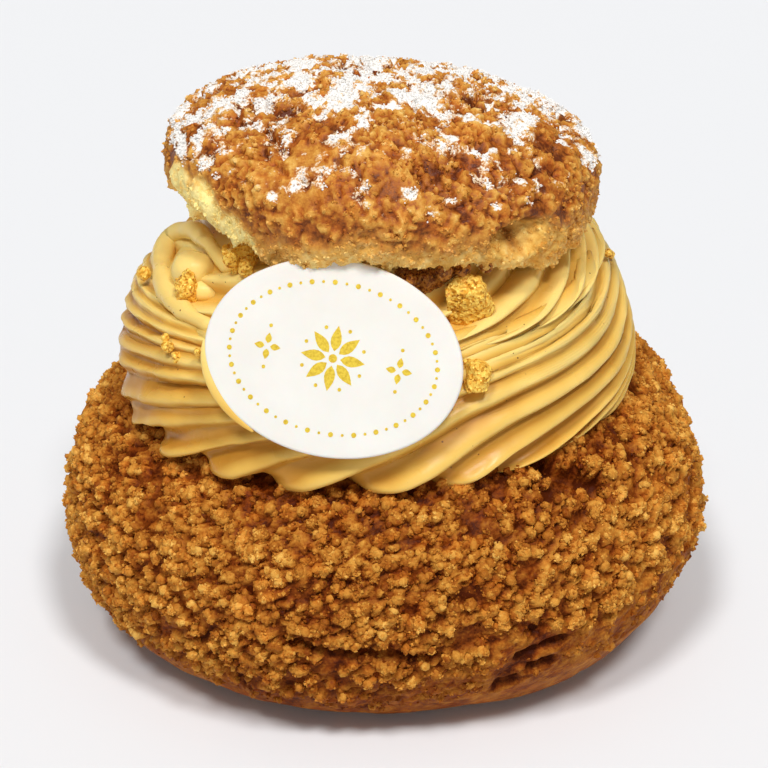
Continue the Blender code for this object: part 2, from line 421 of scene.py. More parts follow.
def craquelin(points, cover, seed, clump=2.1 * MM, granule=0.95 * MM, bare=0.62):
    """Height, lightness, tint and presence of baked craquelin where cover runs from 0 to 1.

    Granules fuse into ragged clumps; the dark crevices between them are skin colour and painted shade.
    """
    places = warped(points, 1.1 * MM, 0.5 * MM, seed)
    near, second, number = cellular(places, clump, seed + 10)
    apart = ramp(second - near, 0.0, 0.24 * clump)
    share = apart * ramp(number, 0.02, 0.14) * (0.6 + 0.4 * number)
    open_skin = ramp(fractal(points, 5 * MM, seed + 20), bare + 0.25, bare)
    grain_near, _, grain_number = cellular(places, granule, seed + 30)
    bead = dome(grain_near, 0.72 * granule)
    present = cover * open_skin * share
    height = present * (1.05 * MM + 0.35 * MM * bead + 0.30 * MM * (grain_number - 0.5))
    # Lightness: painted shade in the crevices and painted light on the tops of the granules.
    light = 0.10 + 0.64 * present * (0.6 + 0.4 * bead)
    return height, light, grain_number, present


class Crumbs:
    """Loose granules of a crust, with the values that their colour reads."""

    def __init__(self, centres, radii, normals, values):
        self.centres, self.radii, self.normals, self.values = centres, radii, normals, values

    def add(self, name, shape, material, slot, smooth, roughness=0.2):
        points, faces = lumps(self.centres, self.radii, shape, roughness)
        each = len(shape[0])
        mesh = make_mesh(name, points, faces, smooth=smooth,
                         **{key: np.repeat(value, each) for key, value in self.values.items()})
        add_piece(mesh, material)

    def on_them(self, count, sizes):
        """Small grains on the outer side of these crumbs."""
        chosen = rng.integers(0, len(self.radii), size=count)
        away = unit(rng.normal(size=(count, 3)) + 0.9 * self.normals[chosen])
        centres = self.centres[chosen] + away * (0.92 * self.radii[chosen])[:, None]
        radii = rng.uniform(*sizes, size=count)
        centres[:, 2] = np.maximum(centres[:, 2], radii)
        values = {key: value[chosen] for key, value in self.values.items()}
        values["relief"] = np.clip(values["relief"] + rng.uniform(-0.10, 0.15, size=count), 0, 1)
        values["tint"] = rng.random(count)
        return Crumbs(centres, radii, away, values)


def crumbs_on(surface, weight, count, sizes, sink, **extra):
    """Crumbs spread over a surface by weight; extra values are taken from the surface."""
    points, faces, normals, light = surface
    chosen, share = scatter(points, faces, weight, count)
    radii = rng.uniform(*sizes, size=count)
    outward = unit(blend(normals, chosen, share))
    centres = blend(points, chosen, share) - outward * (sink * radii)[:, None]
    centres[:, 2] = np.maximum(centres[:, 2], radii)
    base = np.clip(blend(light, chosen, share) + rng.uniform(-0.05, 0.2, size=count), 0, 1)
    values = {"relief": base, "tint": rng.random(count)}
    values.update({key: blend(value, chosen, share) for key, value in extra.items()})
    return Crumbs(centres, radii, outward, values)


# ---------------------------------------------------------------- lower half of the bun

BASE_LEVELS = 130
BASE_SIDES = 400
BASE_STOPS = (
    (0.00, (0.070, 0.011, 0.001)),
    (0.22, (0.220, 0.050, 0.005)),
    (0.48, (0.435, 0.152, 0.018)),
    (0.74, (0.635, 0.292, 0.046)),
    (1.00, (0.820, 0.470, 0.105)),
)
# Where the craquelin ends over the bare skin: bearing in degrees and height.
HEM_BEARINGS = (-180, -100, -60, -30, -10, 2, 14, 24, 42, 58, 72, 90, 120, 180)
HEM_HEIGHTS = (5.0, 5.5, 7.0, 7.5, 7.5, 8.5, 12.0, 15.5, 14.5, 16.5, 15.0, 9.0, 6.0, 5.0)
# Height of the thin flat crust below the granules, by bearing.
DROP_BEARINGS = (-180, -60, -10, 15, 90, 180)
DROP_HEIGHTS = (3.0, 2.0, 3.0, 6.5, 6.5, 3.0)
# Long gaps in the crust: ends as bearing and height, width and depth in millimetres.
GAPS = (
    ((-17, 15.2), (-4, 14.6), 0.8, 1.3),
    ((-4, 14.6), (9, 13.4), 0.7, 1.2),
    ((-33, 13.0), (-27, 6.0), 0.9, 1.0),
    ((37, 32.6), (46, 29.0), 1.15, 2.0),
    ((26, 15.4), (28, 15.7), 0.7, 1.3),
    ((30, 13.4), (33, 13.8), 0.7, 1.5),
    ((25, 12.2), (28, 12.6), 0.8, 1.5),
    ((22, 9.5), (30, 14.5), 1.5, 0.4),
    ((27, 9.6), (31, 10.4), 0.7, 1.6),
    ((22.5, 7.6), (25, 8.2), 0.8, 1.4),
)
BELLY = 37.0                         # mean radius in millimetres, to lay out the gaps


def gap_depth(bearing, height):
    """Depth of the long gaps at bearings in degrees and heights in millimetres."""
    across = np.radians(bearing) * BELLY
    total = np.zeros_like(across)
    for start, end, width, depth in GAPS:
        x0, x1 = math.radians(start[0]) * BELLY, math.radians(end[0]) * BELLY
        y0, y1 = start[1], end[1]
        length = (x1 - x0) ** 2 + (y1 - y0) ** 2
        share = np.clip(((across - x0) * (x1 - x0) + (height - y0) * (y1 - y0)) / length, 0, 1)
        away = np.hypot(across - x0 - share * (x1 - x0), height - y0 - share * (y1 - y0))
        total = np.maximum(total, depth * np.exp(-(away / width) ** 4))
    return total * MM


def build_base():
    faces = band_faces(BASE_LEVELS, BASE_SIDES)
    directions = band_directions(BASE_LEVELS, BASE_SIDES, math.radians(-35), math.radians(42))
    points = skin_of("choux_base", directions, faces, 24)
    normals = normals_of(points, faces)
    bearing = np.degrees(np.arctan2(points[:, 0], -points[:, 1]))
    up = points[:, 2]

    hem = np.interp(bearing, HEM_BEARINGS, HEM_HEIGHTS) * MM
    hem += 1.3 * MM * fractal(points, 5 * MM, 7)
    drop = np.interp(bearing, DROP_BEARINGS, DROP_HEIGHTS) * MM
    thin = ramp(up, hem - drop - MM, hem - drop + MM)
    cover = 0.65 * ramp(up, hem - 0.9 * MM, hem + 0.9 * MM) + 0.35 * thin
    height, light, tint, present = craquelin(points, cover, 100, bare=0.78)
    wander = 0.5 * fractal(points, 2.5 * MM, 330)
    gaps = gap_depth(bearing + 1.2 * wander, up / MM + wander)
    keep = ramp(gaps, 0.5 * MM, 0.15 * MM)
    skin = 0.20 * MM * fractal(points, 5 * MM, 300) * (1 - cover)
    bulge = 1.1 * MM * np.exp(-((bearing - 85) / 28) ** 2 - ((up - 17 * MM) / (5 * MM)) ** 2)
    bulge -= 0.8 * MM * np.exp(-((bearing + 85) / 35) ** 2 - ((up - 18 * MM) / (8 * MM)) ** 2)
    lift = height * keep - gaps - 1.05 * MM * cover + skin + bulge
    outer = points + normals * lift[:, None]
    outer[:, 2] = np.maximum(outer[:, 2], 0.0)
    smooth_skin = 0.26 + 0.10 * ramp(up, 2 * MM, 14 * MM) + 0.08 * fractal(points, 4 * MM, 320)
    side = np.sin(np.radians(bearing))
    # Painted shade on the crust beside the cream's foot, and painted light on the sides, more at the right.
    painted_light_and_shade = 0.10 * ramp(up, 25 * MM, 31 * MM) - 0.07 * np.abs(side) - 0.04 * np.maximum(side, 0)
    # The long gaps are darkened too: painted shade in them.
    light = light * cover + smooth_skin * (1 - cover) - 0.35 * (1 - keep) - painted_light_and_shade
    light = np.clip(light, 0, 1)

    material = crust_shader("crust", BASE_STOPS, 0.06)
    mesh = make_mesh("base_crust", outer, faces, relief=light, tint=tint)
    add_piece(mesh, material, "choux_base")

    surface = outer, faces, normals_of(outer, faces), light
    outside = np.maximum(ramp(np.linalg.norm(points[:, :2], axis=-1), 28 * MM, 30 * MM),
                         ramp(up, 26 * MM, 24 * MM))
    front = 1 + 0.3 * np.cos(np.radians(bearing))
    weight = np.clip(present * keep, 0, 1) * outside * front
    crumbs = crumbs_on(surface, weight ** 1.3, 5600, (0.38 * MM, 0.68 * MM), 0.3)
    crumbs.add("base_crumbs", ball(1), material, "baked_crust", smooth=True)
    grains = crumbs.on_them(19000, (0.15 * MM, 0.26 * MM))
    grains.add("base_granules", octahedron(), material, "baked_crust", smooth=False)
    grains = crumbs_on(surface, weight + 0.05 * cover * outside * front, 12500,
                       (0.15 * MM, 0.30 * MM), 0.1)
    grains.add("base_grains", octahedron(), material, "baked_crust", smooth=False)


# ---------------------------------------------------------------- lid

LID_STOPS = (
    (0.00, (0.120, 0.024, 0.003)),
    (0.25, (0.390, 0.108, 0.012)),
    (0.50, (0.585, 0.240, 0.032)),
    (0.75, (0.760, 0.405, 0.083)),
    (1.00, (0.930, 0.660, 0.240)),
)
CRUMB_STOPS = (
    (0.45, (0.70, 0.330, 0.048)),
    (0.75, (0.92, 0.560, 0.130)),
    (1.00, (1.00, 0.830, 0.330)),
)
# Places where the pale crumb inside is torn open: centre and radius in millimetres.
LID_TEARS = (
    ((-23.5, -10.0, 60.0), 4.2), ((-21.0, -14.0, 58.4), 5.0), ((-16.5, -17.5, 56.2), 4.6),
    ((13.0, -22.0, 57.4), 2.6), ((17.0, -19.3, 57.2), 3.0), ((19.5, -16.5, 55.4), 3.2),
)
LID_BITE = (15.0, -21.0, 58.6)       # hollow above the ragged lip at the right
LID_BITE_SPAN = (5.0, 4.0, 2.4)
# Deep cracks between the crust's plates, and the notch at the back: ends and width.
LID_CRACKS = (
    ((-24.5, 1.0, 64.8), (-21.0, 6.0, 66.5), 0.9),
    ((-16.0, -5.5, 68.8), (-10.0, -9.5, 69.4), 0.9),
    ((-13.6, -12.0, 68.4), (-10.9, -17.0, 67.6), 0.7),
    ((-2.5, 3.5, 69.4), (0.5, 14.0, 67.6), 1.7),
    ((4.5, -20.5, 66.0), (9.0, -19.0, 66.4), 0.6),
)
LID_PATCH = (-9.5, -20.0, 66.0)      # smoother glazed plate
# How much of the crust icing sugar covers, by distance towards the back and to the right.
SUGAR_BACK = (-18, -14, -10, -4, 2, 8)
SUGAR_RIGHT = (-14, 0, 12, 23)
SUGAR_COVER = (
    (0.12, 0.38, 0.50, 0.46, 0.44, 0.48),
    (0.16, 0.32, 0.38, 0.48, 0.50, 0.50),
    (0.04, 0.12, 0.18, 0.30, 0.38, 0.50),
    (0.02, 0.06, 0.20, 0.42, 0.44, 0.50),
)


def away_from(points, start, end):
    """Distance of points from the straight line between two places in millimetres."""
    start, end = np.array(start) * MM, np.array(end) * MM
    share = np.clip((points - start) @ (end - start) / np.sum((end - start) ** 2), 0, 1)
    return np.linalg.norm(points - start - share[:, None] * (end - start), axis=-1)


def sugar_share(points):
    """Share of the crust that sugar covers at points, from 0 to 1."""
    rows = np.stack([np.interp(points[:, 1] / MM, SUGAR_BACK, cover) for cover in SUGAR_COVER])
    across = np.interp(points[:, 0] / MM, SUGAR_RIGHT, np.arange(len(SUGAR_RIGHT)))
    low = np.minimum(across.astype(int), len(SUGAR_RIGHT) - 2)
    column = np.arange(len(points))
    return rows[low, column] * (1 - across + low) + rows[low + 1, column] * (across - low)


def build_lid():
    directions, faces = ball(7)
    points = skin_of("choux_lid", directions, faces, 30)
    normals = normals_of(points, faces)
    low, high = (np.array(corner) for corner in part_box("choux_lid"))
    tall = (points[:, 2] - low[2]) / (high[2] - low[2])
    upward = normals[:, 2]
    ragged = fractal(points, 3 * MM, 480)
    top = ramp(upward + 0.22 * ragged, -0.45, 0.12)
    torn = 0.0
    for centre, radius in LID_TEARS:
        away = np.linalg.norm(points - np.array(centre) * MM, axis=-1)
        torn = np.maximum(torn, ramp(away + 1.0 * MM * ragged, radius * MM, 0.6 * radius * MM))
    fringe = np.maximum(torn, (0.50 + 0.30 * ramp(upward, -0.4, -0.9)) * (1 - top))
    plate = ramp(np.linalg.norm(points - np.array(LID_PATCH) * MM, axis=-1) + ragged * MM,
                 5.5 * MM, 3.5 * MM)
    cover = (0.45 + 0.55 * top) * (1 - torn)
    height, light, tint, present = craquelin(points, cover, 500, 1.4 * MM, 0.7 * MM, 0.54)
    pores = cellular(warped(points, 1.5 * MM, 0.5 * MM, 550), 1.0 * MM, 560)[0]
    fuzz = fractal(points, 1.1 * MM, 570)
    rough = MM * (0.70 * ragged + 0.45 * ramp(pores, 0.15 * MM, 0.55 * MM) + 0.30 * fuzz)
    cracks = ramp(np.abs(fractal(points, 9 * MM, 590)), 0.06, 0.0) * ramp(upward, 0.3, 0.7)
    wander = 0.8 * MM * fractal(points, 2 * MM, 595)
    for start, end, width in LID_CRACKS:
        away = away_from(points, start, end) + wander
        cracks = np.maximum(cracks, ramp(away, 1.6 * width * MM, 0.5 * width * MM))
    relief = (0.55 * height * (1 - 0.85 * plate) - 0.40 * MM) * (1 - torn) - 0.35 * MM * torn
    relief += 0.14 * MM * fractal(points, 1.2 * MM, 578) * top * (1 - plate)
    relief += rough * np.maximum(1 - top, torn) - 1.3 * MM * cracks
    bite = (points - np.array(LID_BITE) * MM) / (np.array(LID_BITE_SPAN) * MM)
    bite = ramp(np.linalg.norm(bite, axis=-1), 1.1, 0.3)
    relief += -3.2 * MM * bite + 0.6 * MM * noise(points, 7 * MM, 575)
    outer = points + normals * relief[:, None]
    outer[:, 2] -= 1.5 * MM * (1 - top) * np.clip(fractal(points, 2.2 * MM, 585) + 0.2 * fuzz, 0, 1)
    patches = 0.50 * fractal(points, 2.4 * MM, 600) + 0.35 * fractal(points, 1.1 * MM, 610)
    sugar = 0.530 + 0.9 * (sugar_share(points) - 0.5) + patches - 0.12 * plate
    sugar = np.clip(sugar, 0, 1) * ramp(upward, 0.10, 0.45)
    # Darker in the cracks and in the hollow above the lip: painted shade in these recesses.
    light = light + 0.02 - 0.5 * cracks + 0.6 * plate * (0.46 - light)
    light = np.maximum(light, 0.58 * (1 - top) + 0.15 * ragged) - 0.45 * bite
    # The torn crumb is paler at the left than at the right: painted light, for light glowing through the crumb.
    pale = np.interp(points[:, 0], (-10 * MM, 12 * MM), (1.00, 0.20)) + 0.3 * ragged
    light = light + torn * (pale - light)
    material = crust_shader("lid crust", LID_STOPS, 0.22, sugared=True)
    mesh = make_mesh("lid_crust", outer, faces, relief=np.clip(light, 0, 1), tint=tint,
                     sugar=sugar, torn=fringe)
    add_piece(mesh, material, "choux_lid")

    surface = outer, faces, normals_of(outer, faces), light
    side = ramp(tall, 0.02, 0.12)
    bare = (1 - 0.92 * plate) * (1 - 0.8 * cracks)
    crumbs = crumbs_on(surface, present * bare, 2600, (0.17 * MM, 0.40 * MM), 0.4,
                       sugar=sugar, torn=fringe)
    crumbs.add("lid_crumbs", ball(1), material, "lid_crust", smooth=True)
    grains = crumbs.on_them(5500, (0.11 * MM, 0.20 * MM))
    grains.add("lid_granules", octahedron(), material, "lid_crust", smooth=False)
    loose = (0.4 * present * bare + 0.6 * torn + 1.2 * (1 - top)) * side
    grains = crumbs_on(surface, loose + 0.03, 11000, (0.12 * MM, 0.30 * MM), 0.1,
                       sugar=sugar, torn=fringe)
    grains.add("lid_grains", octahedron(), material, "lid_crust", smooth=False)

    count = 8000
    chosen, share = scatter(outer, faces, ramp(sugar, 0.46, 0.75), count)
    radii = rng.uniform(0.08 * MM, 0.19 * MM, size=count)
    centres = blend(outer, chosen, share)
    centres = centres + blend(normals, chosen, share) * (0.5 * radii + 0.05 * MM)[:, None]
    powder = Shader("icing sugar", Roughness=0.85, Specular_IOR_Level=0.2)
    powder.put("Base Color", powder.ramp(powder.noise(0.4 * MM), (0.2, (0.86, 0.84, 0.80)),
                                         (0.8, (0.95, 0.94, 0.92))))
    mesh = make_mesh("icing_sugar", *lumps(centres, radii, octahedron()), smooth=False)
    add_piece(mesh, powder.material)


# ---------------------------------------------------------------- cream

CREAM_FOOT = 31.2 * MM
CREAM_STEP = 47.6 * MM               # where the upper turn rests on the lower one
CREAM_TOP = 57.0 * MM
CREAM_WIDEST = 37.5 * MM
CREAM_RADIUS = 31.1 * MM
CREAM_DOME = 20.5 * MM
CREAM_SHIFT = -0.8 * MM
CREAM_POLE = 51.0 * MM
RIDGE_CREST = 0.62                   # where the crest stands across a ridge
RIGHT_NARROWER = 0.20                # share by which the ridges at the right are narrower
# Degrees that a ridge turns while what is left of its climb falls to 37%, by bearing.
SWIRL_BEARINGS = (-180, -60, -30, 22, 36, 90, 130)
SWIRL_PITCH = (90, 78, 60, 60, 160, 160, 100)
# The folded end of the piped rope, from behind the upper nugget round to the plaque.
CURL_PATH = ((-18.0, -13.0, 51.4), (-20.2, -9.0, 52.7), (-22.0, -4.4, 52.6), (-23.7, -1.2, 51.4),
             (-25.2, 1.2, 49.8), (-26.3, -0.2, 48.3), (-26.5, -3.6, 47.6), (-25.7, -8.6, 47.2),
             (-24.0, -12.6, 47.0), (-22.4, -15.4, 47.0), (-19.6, -18.6, 46.8))
CURL_RADII = (0.7, 1.1, 1.25, 1.2, 1.1, 1.1, 1.25, 1.4, 1.5, 1.4, 0.9)
KNOB_CENTRE = (-22.0, -10.2, 50.0)
KNOB_RADII = (2.7, 2.7, 2.4)
BED_CENTRE = (-20.6, -6.4, 48.2)
BED_RADII = (4.6, 7.6, 2.9)


def crest_radius(height):
    below = np.clip((CREAM_WIDEST - height) / (CREAM_WIDEST - CREAM_FOOT), 0, 1)
    above = np.clip((height - CREAM_WIDEST) / CREAM_DOME, 0, 1)
    return np.where(height < CREAM_WIDEST, CREAM_RADIUS - 0.7 * MM * below ** 2,
                    CREAM_RADIUS * np.sqrt(1 - above ** 2))


def swirled(foot, height):
    """Bearings that the ridges starting from foot bearings have reached at a height.

    A ridge turns faster as it climbs towards CREAM_POLE, and by more where SWIRL_PITCH is wide.
    """
    grid = np.arange(-180, 1260)
    pitch = np.interp(grid, SWIRL_BEARINGS, SWIRL_PITCH, period=360)
    climbed = np.cumsum(1 / pitch)
    start = np.interp(np.degrees(foot), grid, climbed)
    rise = np.maximum(np.log((CREAM_POLE - CREAM_FOOT) / (CREAM_POLE - height)), 0)
    return np.radians(np.interp(start + rise, climbed, grid))


def ridge_profile(share, crest=RIDGE_CREST, sharpness=0.85):
    """Height across a ridge: a slow hollow rise to a round crest, then a steeper fall."""
    phase = np.where(share < crest, 0.5 * share / crest, 0.5 + 0.5 * (share - crest) / (1 - crest))
    return (0.5 - 0.5 * np.cos(2 * math.pi * phase)) ** sharpness


def ridged(sides, count, first, unevenness):
    """Foot bearing, height across the ridge and strength for each side, one crest at first."""
    around = 2 * math.pi * np.arange(count) / count
    widths = 1 + 0.6 * unevenness * rng.uniform(-1, 1, size=count)
    widths -= RIGHT_NARROWER * np.sin(around)
    ends = np.concatenate([[0], np.cumsum(widths)]) * 2 * math.pi / widths.sum()
    foot = 2 * math.pi * np.arange(sides) / sides
    shifted = (foot - first + RIDGE_CREST * (ends[1] - ends[0])) % (2 * math.pi)
    number = np.clip(np.searchsorted(ends, shifted, side="right") - 1, 0, count - 1)
    share = (shifted - ends[number]) / (ends[number + 1] - ends[number])
    strength = 1 + unevenness * rng.uniform(-1.3, 1.3, size=count)
    before, after = strength[number], strength[(number + 1) % count]
    return foot, ridge_profile(share), np.where(share < RIDGE_CREST, before, (before + after) / 2)


def rope(levels, sides, count, first, low, high, radius, turned, depth, lean):
    """One turn of the piped cream, its ridges twisted as they rise, closed at both ends.

    Each ridge ends at the foot in a round lobe that hangs lower than the creases beside it.
    """
    foot, ridge, strength = ridged(sides, count, first, 0.32)
    height = np.linspace(low, high, levels)[:, None]
    wander = np.stack([3 * np.cos(foot) + 0 * height, 3 * np.sin(foot) + 0 * height,
                       height / (5 * MM) + 0 * foot], axis=-1)
    bearing = turned(foot, height) + 0.05 * noise(wander, 1.0, 780)
    reach = radius(height) + 0 * foot
    reach *= 1 + 0.010 * np.sin(5 * bearing + 7 * (height - CREAM_FOOT) / (CREAM_TOP - CREAM_FOOT))
    reach *= 1 + 0.012 * np.sin(2 * bearing + 3.74)
    tuck = np.clip(1 - (height - low - 0.95 * MM * (1 - ridge)) / (1.9 * MM), 0, 2)
    lobe = ridge * np.exp(-((height - low - 2.0 * MM) / (2.4 * MM)) ** 2)
    forward = ramp(np.cos(bearing), 0.1, 0.9)
    reach += (0.35 + 0.60 * forward) * MM * lobe - 1.7 * MM * tuck ** 2
    x = CREAM_SHIFT + reach * np.sin(bearing)
    tilt = 0.045 * x * np.clip((CREAM_TOP - height) / (CREAM_TOP - CREAM_FOOT), 0, 1)
    tilt = tilt + lean * np.sin(bearing) * (high - height) / (high - low)
    rows = np.stack([x, -reach * np.cos(bearing), height + tilt], axis=-1).reshape(-1, 3)
    points = np.vstack([rows, rows[:sides].mean(0), rows[-sides:].mean(0)])
    faces = band_faces(levels, sides)
    normals = normals_of(points, faces)
    left = ramp(np.cos(bearing + math.radians(72)), 0.1, 0.8)
    worn = left * (0.38 + 0.55 * noise(2.2 * wander, 1.0, 785))
    fall = depth(height) * strength * (1 - ridge) * (1 - worn)
    fall = np.append(fall.reshape(-1), (0, 0))
    # crest is the height across each ridge, read by the colour: painted shade in the creases and painted light
    # on the crests.
    crest = np.append((0 * height + ridge).reshape(-1), (0.5, 0.5))
    return points - normals * fall[:, None], faces, crest


def lower_turn():
    def radius(height):
        over = np.clip((height - 45.4 * MM) / (3.2 * MM), 0, 1)
        return crest_radius(height) - 5.0 * MM * over ** 2

    def depth(height):
        return np.interp(height, np.array((31, 36, 40, 44, 46.5, 48.6)) * MM,
                         np.array((1.40, 1.35, 1.2, 0.90, 0.6, 0.3)) * MM)

    return rope(72, 616, 22, math.radians(0.7), CREAM_FOOT - 0.4 * MM, 48.6 * MM, radius,
                swirled, depth, 0.0)


def upper_turn():
    def radius(height):
        return crest_radius(np.maximum(height, CREAM_STEP)) - 0.2 * MM

    def turned(foot, height):
        return foot + math.radians(11.0) * (height - 47 * MM) / MM

    def depth(height):
        return np.interp(height, np.array((45.6, 47.5, 49.5, 54, 57)) * MM,
                         np.array((1.2, 1.4, 1.6, 1.4, 0.8)) * MM)

    return rope(42, 448, 16, math.radians(9.1), 45.4 * MM, CREAM_TOP, radius, turned, depth,
                1.0 * MM)


def tube(path, radii, sides=20, flatten=1.0, across=None, steps=6):
    """Round rope through points, with tapered ends; flatten thins it square to across."""
    path, radii = np.array(path, float), np.array(radii, float)
    fine = np.linspace(0, len(path) - 1, (len(path) - 1) * steps + 1)
    index = np.arange(len(path))
    centre = np.stack([np.interp(fine, index, path[:, axis]) for axis in range(3)], axis=-1)
    radius = np.interp(fine, index, radii)
    for _ in range(2 * steps):
        centre[1:-1] = (centre[:-2] + 2 * centre[1:-1] + centre[2:]) / 4
        radius[1:-1] = (radius[:-2] + 2 * radius[1:-1] + radius[2:]) / 4
    along = unit(np.gradient(centre, axis=0))
    side = unit(np.cross(along, np.array((0, 0, 1.0)) if across is None else across))
    other = np.cross(side, along)
    turn = 2 * math.pi * np.arange(sides) / sides
    ring = np.cos(turn)[:, None, None] * side + flatten * np.sin(turn)[:, None, None] * other
    rows = (centre + radius[:, None] * ring).transpose(1, 0, 2)
    points = np.vstack([rows.reshape(-1, 3), centre[0] - along[0] * radius[0] * 0.8,
                        centre[-1] + along[-1] * radius[-1] * 0.8])
    return points, band_faces(len(centre), sides)[:, ::-1]


def joined(parts):
    points, faces, start = [], [], 0
    for part, triangles in parts:
        points.append(part)
        faces.append(triangles + start)
        start += len(part)
    return np.vstack(points), np.concatenate(faces)


def behind_plaque(points):
    """Points with those that would come through the plaque pushed back under it."""
    local = (points - np.array(PLAQUE_CENTRE)) @ np.array(PLAQUE_FRAME)
    span = np.hypot(2 * local[:, 0] / PLAQUE_LENGTH, 2 * local[:, 1] / PLAQUE_WIDTH)
    limit = -PLAQUE_THICKNESS - 0.15 * MM + 3 * MM * ramp(span, 0.97, 1.12)
    through = (span < 1.12) & (local[:, 2] > limit) & (local[:, 2] < 6 * MM)
    local[:, 2] = np.where(through, limit, local[:, 2])
    return on_plaque(local)


def smear_over_plaque():
    """Cream pressed up over the lower left edge of the plaque."""
    turn = np.radians(np.linspace(184, 240, 15))
    share = np.linspace(0, 1, 15)
    path = np.stack([(PLAQUE_LENGTH / 2 + 0.15 * MM) * np.cos(turn),
                     (PLAQUE_WIDTH / 2 + 0.15 * MM) * np.sin(turn),
                     np.full(15, -0.25 * MM)], axis=-1)
    radii = MM * (0.12 + 0.45 * np.sin(math.pi * share) ** 0.7)
    normal = np.array(PLAQUE_FRAME)[:, 2]
    return tube(on_plaque(path), radii, flatten=0.55, across=normal)


def smeared(points, sink):
    """A turn pressed smooth in front, where the upper turn was wiped over the lower one."""
    offset = points - (CREAM_SHIFT, 0, 0)
    reach = np.hypot(offset[:, 0], offset[:, 1])
    bearing = np.degrees(np.arctan2(offset[:, 0], -offset[:, 1]))
    height = points[:, 2]
    share = ramp(height, 43.4 * MM, 45.0 * MM) * ramp(height, 49.6 * MM, 47.8 * MM)
    share = share * ramp(bearing, -10, 5) * ramp(bearing, 78, 50)
    streaks = noise(points * (1, 1, 6) + 0.6 * offset[:, :1] * (0, 0, 1), 5 * MM, 810)
    full = crest_radius(height) - sink + 0.25 * MM * streaks
    out = share * np.maximum(full - reach, 0) / np.maximum(reach, MM)
    return points + out[:, None] * offset * (1, 1, 0)


def build_cream():
    bed, knob = ball(4), ball(4)
    bed = (bed[0] * BED_RADII + BED_CENTRE) * MM, bed[1]
    knob = (knob[0] * KNOB_RADII + KNOB_CENTRE) * MM, knob[1]
    curl = tube(np.array(CURL_PATH) * MM, np.array(CURL_RADII) * MM)
    lower, upper = lower_turn(), upper_turn()
    rows = [(smeared(lower[0], 0.35 * MM), *lower[1:]), (smeared(upper[0], 0.65 * MM), *upper[1:])]
    crest = [row[2] for row in rows]
    plain = [bed, knob, curl]
    crest += [np.full(len(part), 0.8) for part, _ in plain]
    points, faces = joined([row[:2] for row in rows] + plain)
    normals = normals_of(points, faces)
    left = 1 + 1.5 * ramp(points[:, 0], -8 * MM, -20 * MM)
    swell = 0.30 * MM * noise(points, 7 * MM, 790) + 0.11 * MM * left * fractal(points, 4 * MM, 800)
    points = behind_plaque(points + normals * swell[:, None])
    smear = smear_over_plaque()
    crest.append(np.full(len(smear[0]), 0.8))
    points, faces = joined([(points, faces), smear])

    shader = Shader("praline cream", Specular_IOR_Level=0.22,
                    Subsurface_Weight=0.12, Subsurface_Scale=0.8 * MM)
    shader.put("Roughness", shader.maths("MULTIPLY_ADD", shader.noise(5 * MM), 0.8, -0.05))
    shader.surface.inputs["Subsurface Radius"].default_value = (1.0, 0.45, 0.15)
    tone = shader.ramp(shader.total(shader.attribute("relief"),
                                    shader.around(shader.noise(6 * MM, 2.0), 0.5)),
                       (0.0, (0.58, 0.268, 0.034)), (0.45, (0.78, 0.475, 0.095)),
                       (1.0, (0.92, 0.685, 0.220)))
    speck = shader.step(shader.cells(1.9 * MM), 0.075, 0.045)
    speck = shader.maths("MULTIPLY", speck, shader.step(shader.noise(4 * MM), 0.42, 0.5))
    shader.put("Base Color", shader.mix(speck, tone, (0.20, 0.08, 0.02)))
    shader.bump(shader.noise(0.4 * MM, 3.0), 0.03 * MM, 0.6)
    # Relief colour: painted shade in the creases and painted light on the crests; the tone is also lighter
    # higher up and darker at the lower left.
    paler = 0.53 * ramp(points[:, 2], 34 * MM, 52 * MM) - 0.23
    paler -= 0.22 * ramp(points[:, 0], 0, -22 * MM) * ramp(points[:, 2], 45 * MM, 38 * MM)
    relief = np.clip(0.8 * np.concatenate(crest) + paler, 0, 1)
    mesh = make_mesh("cream", points, faces, relief=relief)
    add_piece(mesh, shader.material, "cream_swirl")


# ---------------------------------------------------------------- plaque and its foil

PLAQUE_LENGTH = 28.8 * MM
PLAQUE_WIDTH = 21.8 * MM
PLAQUE_THICKNESS = 0.9 * MM
PLAQUE_EDGE = 0.3 * MM
PLAQUE_CENTRE = Vector((-5.6, -27.6, 47.2)) * MM
PLAQUE_FRAME = (Matrix.Rotation(math.radians(-7), 3, "Z")
                @ Matrix.Rotation(math.radians(64), 3, "X")
                @ Matrix.Rotation(math.radians(-7.7), 3, "Z"))
FOIL_HEIGHT = 0.035 * MM


def on_plaque(points):
    """Points of the plaque's own frame, whose face is at zero height, put in place."""
    return np.asarray(points) @ np.array(PLAQUE_FRAME).T + np.array(PLAQUE_CENTRE)


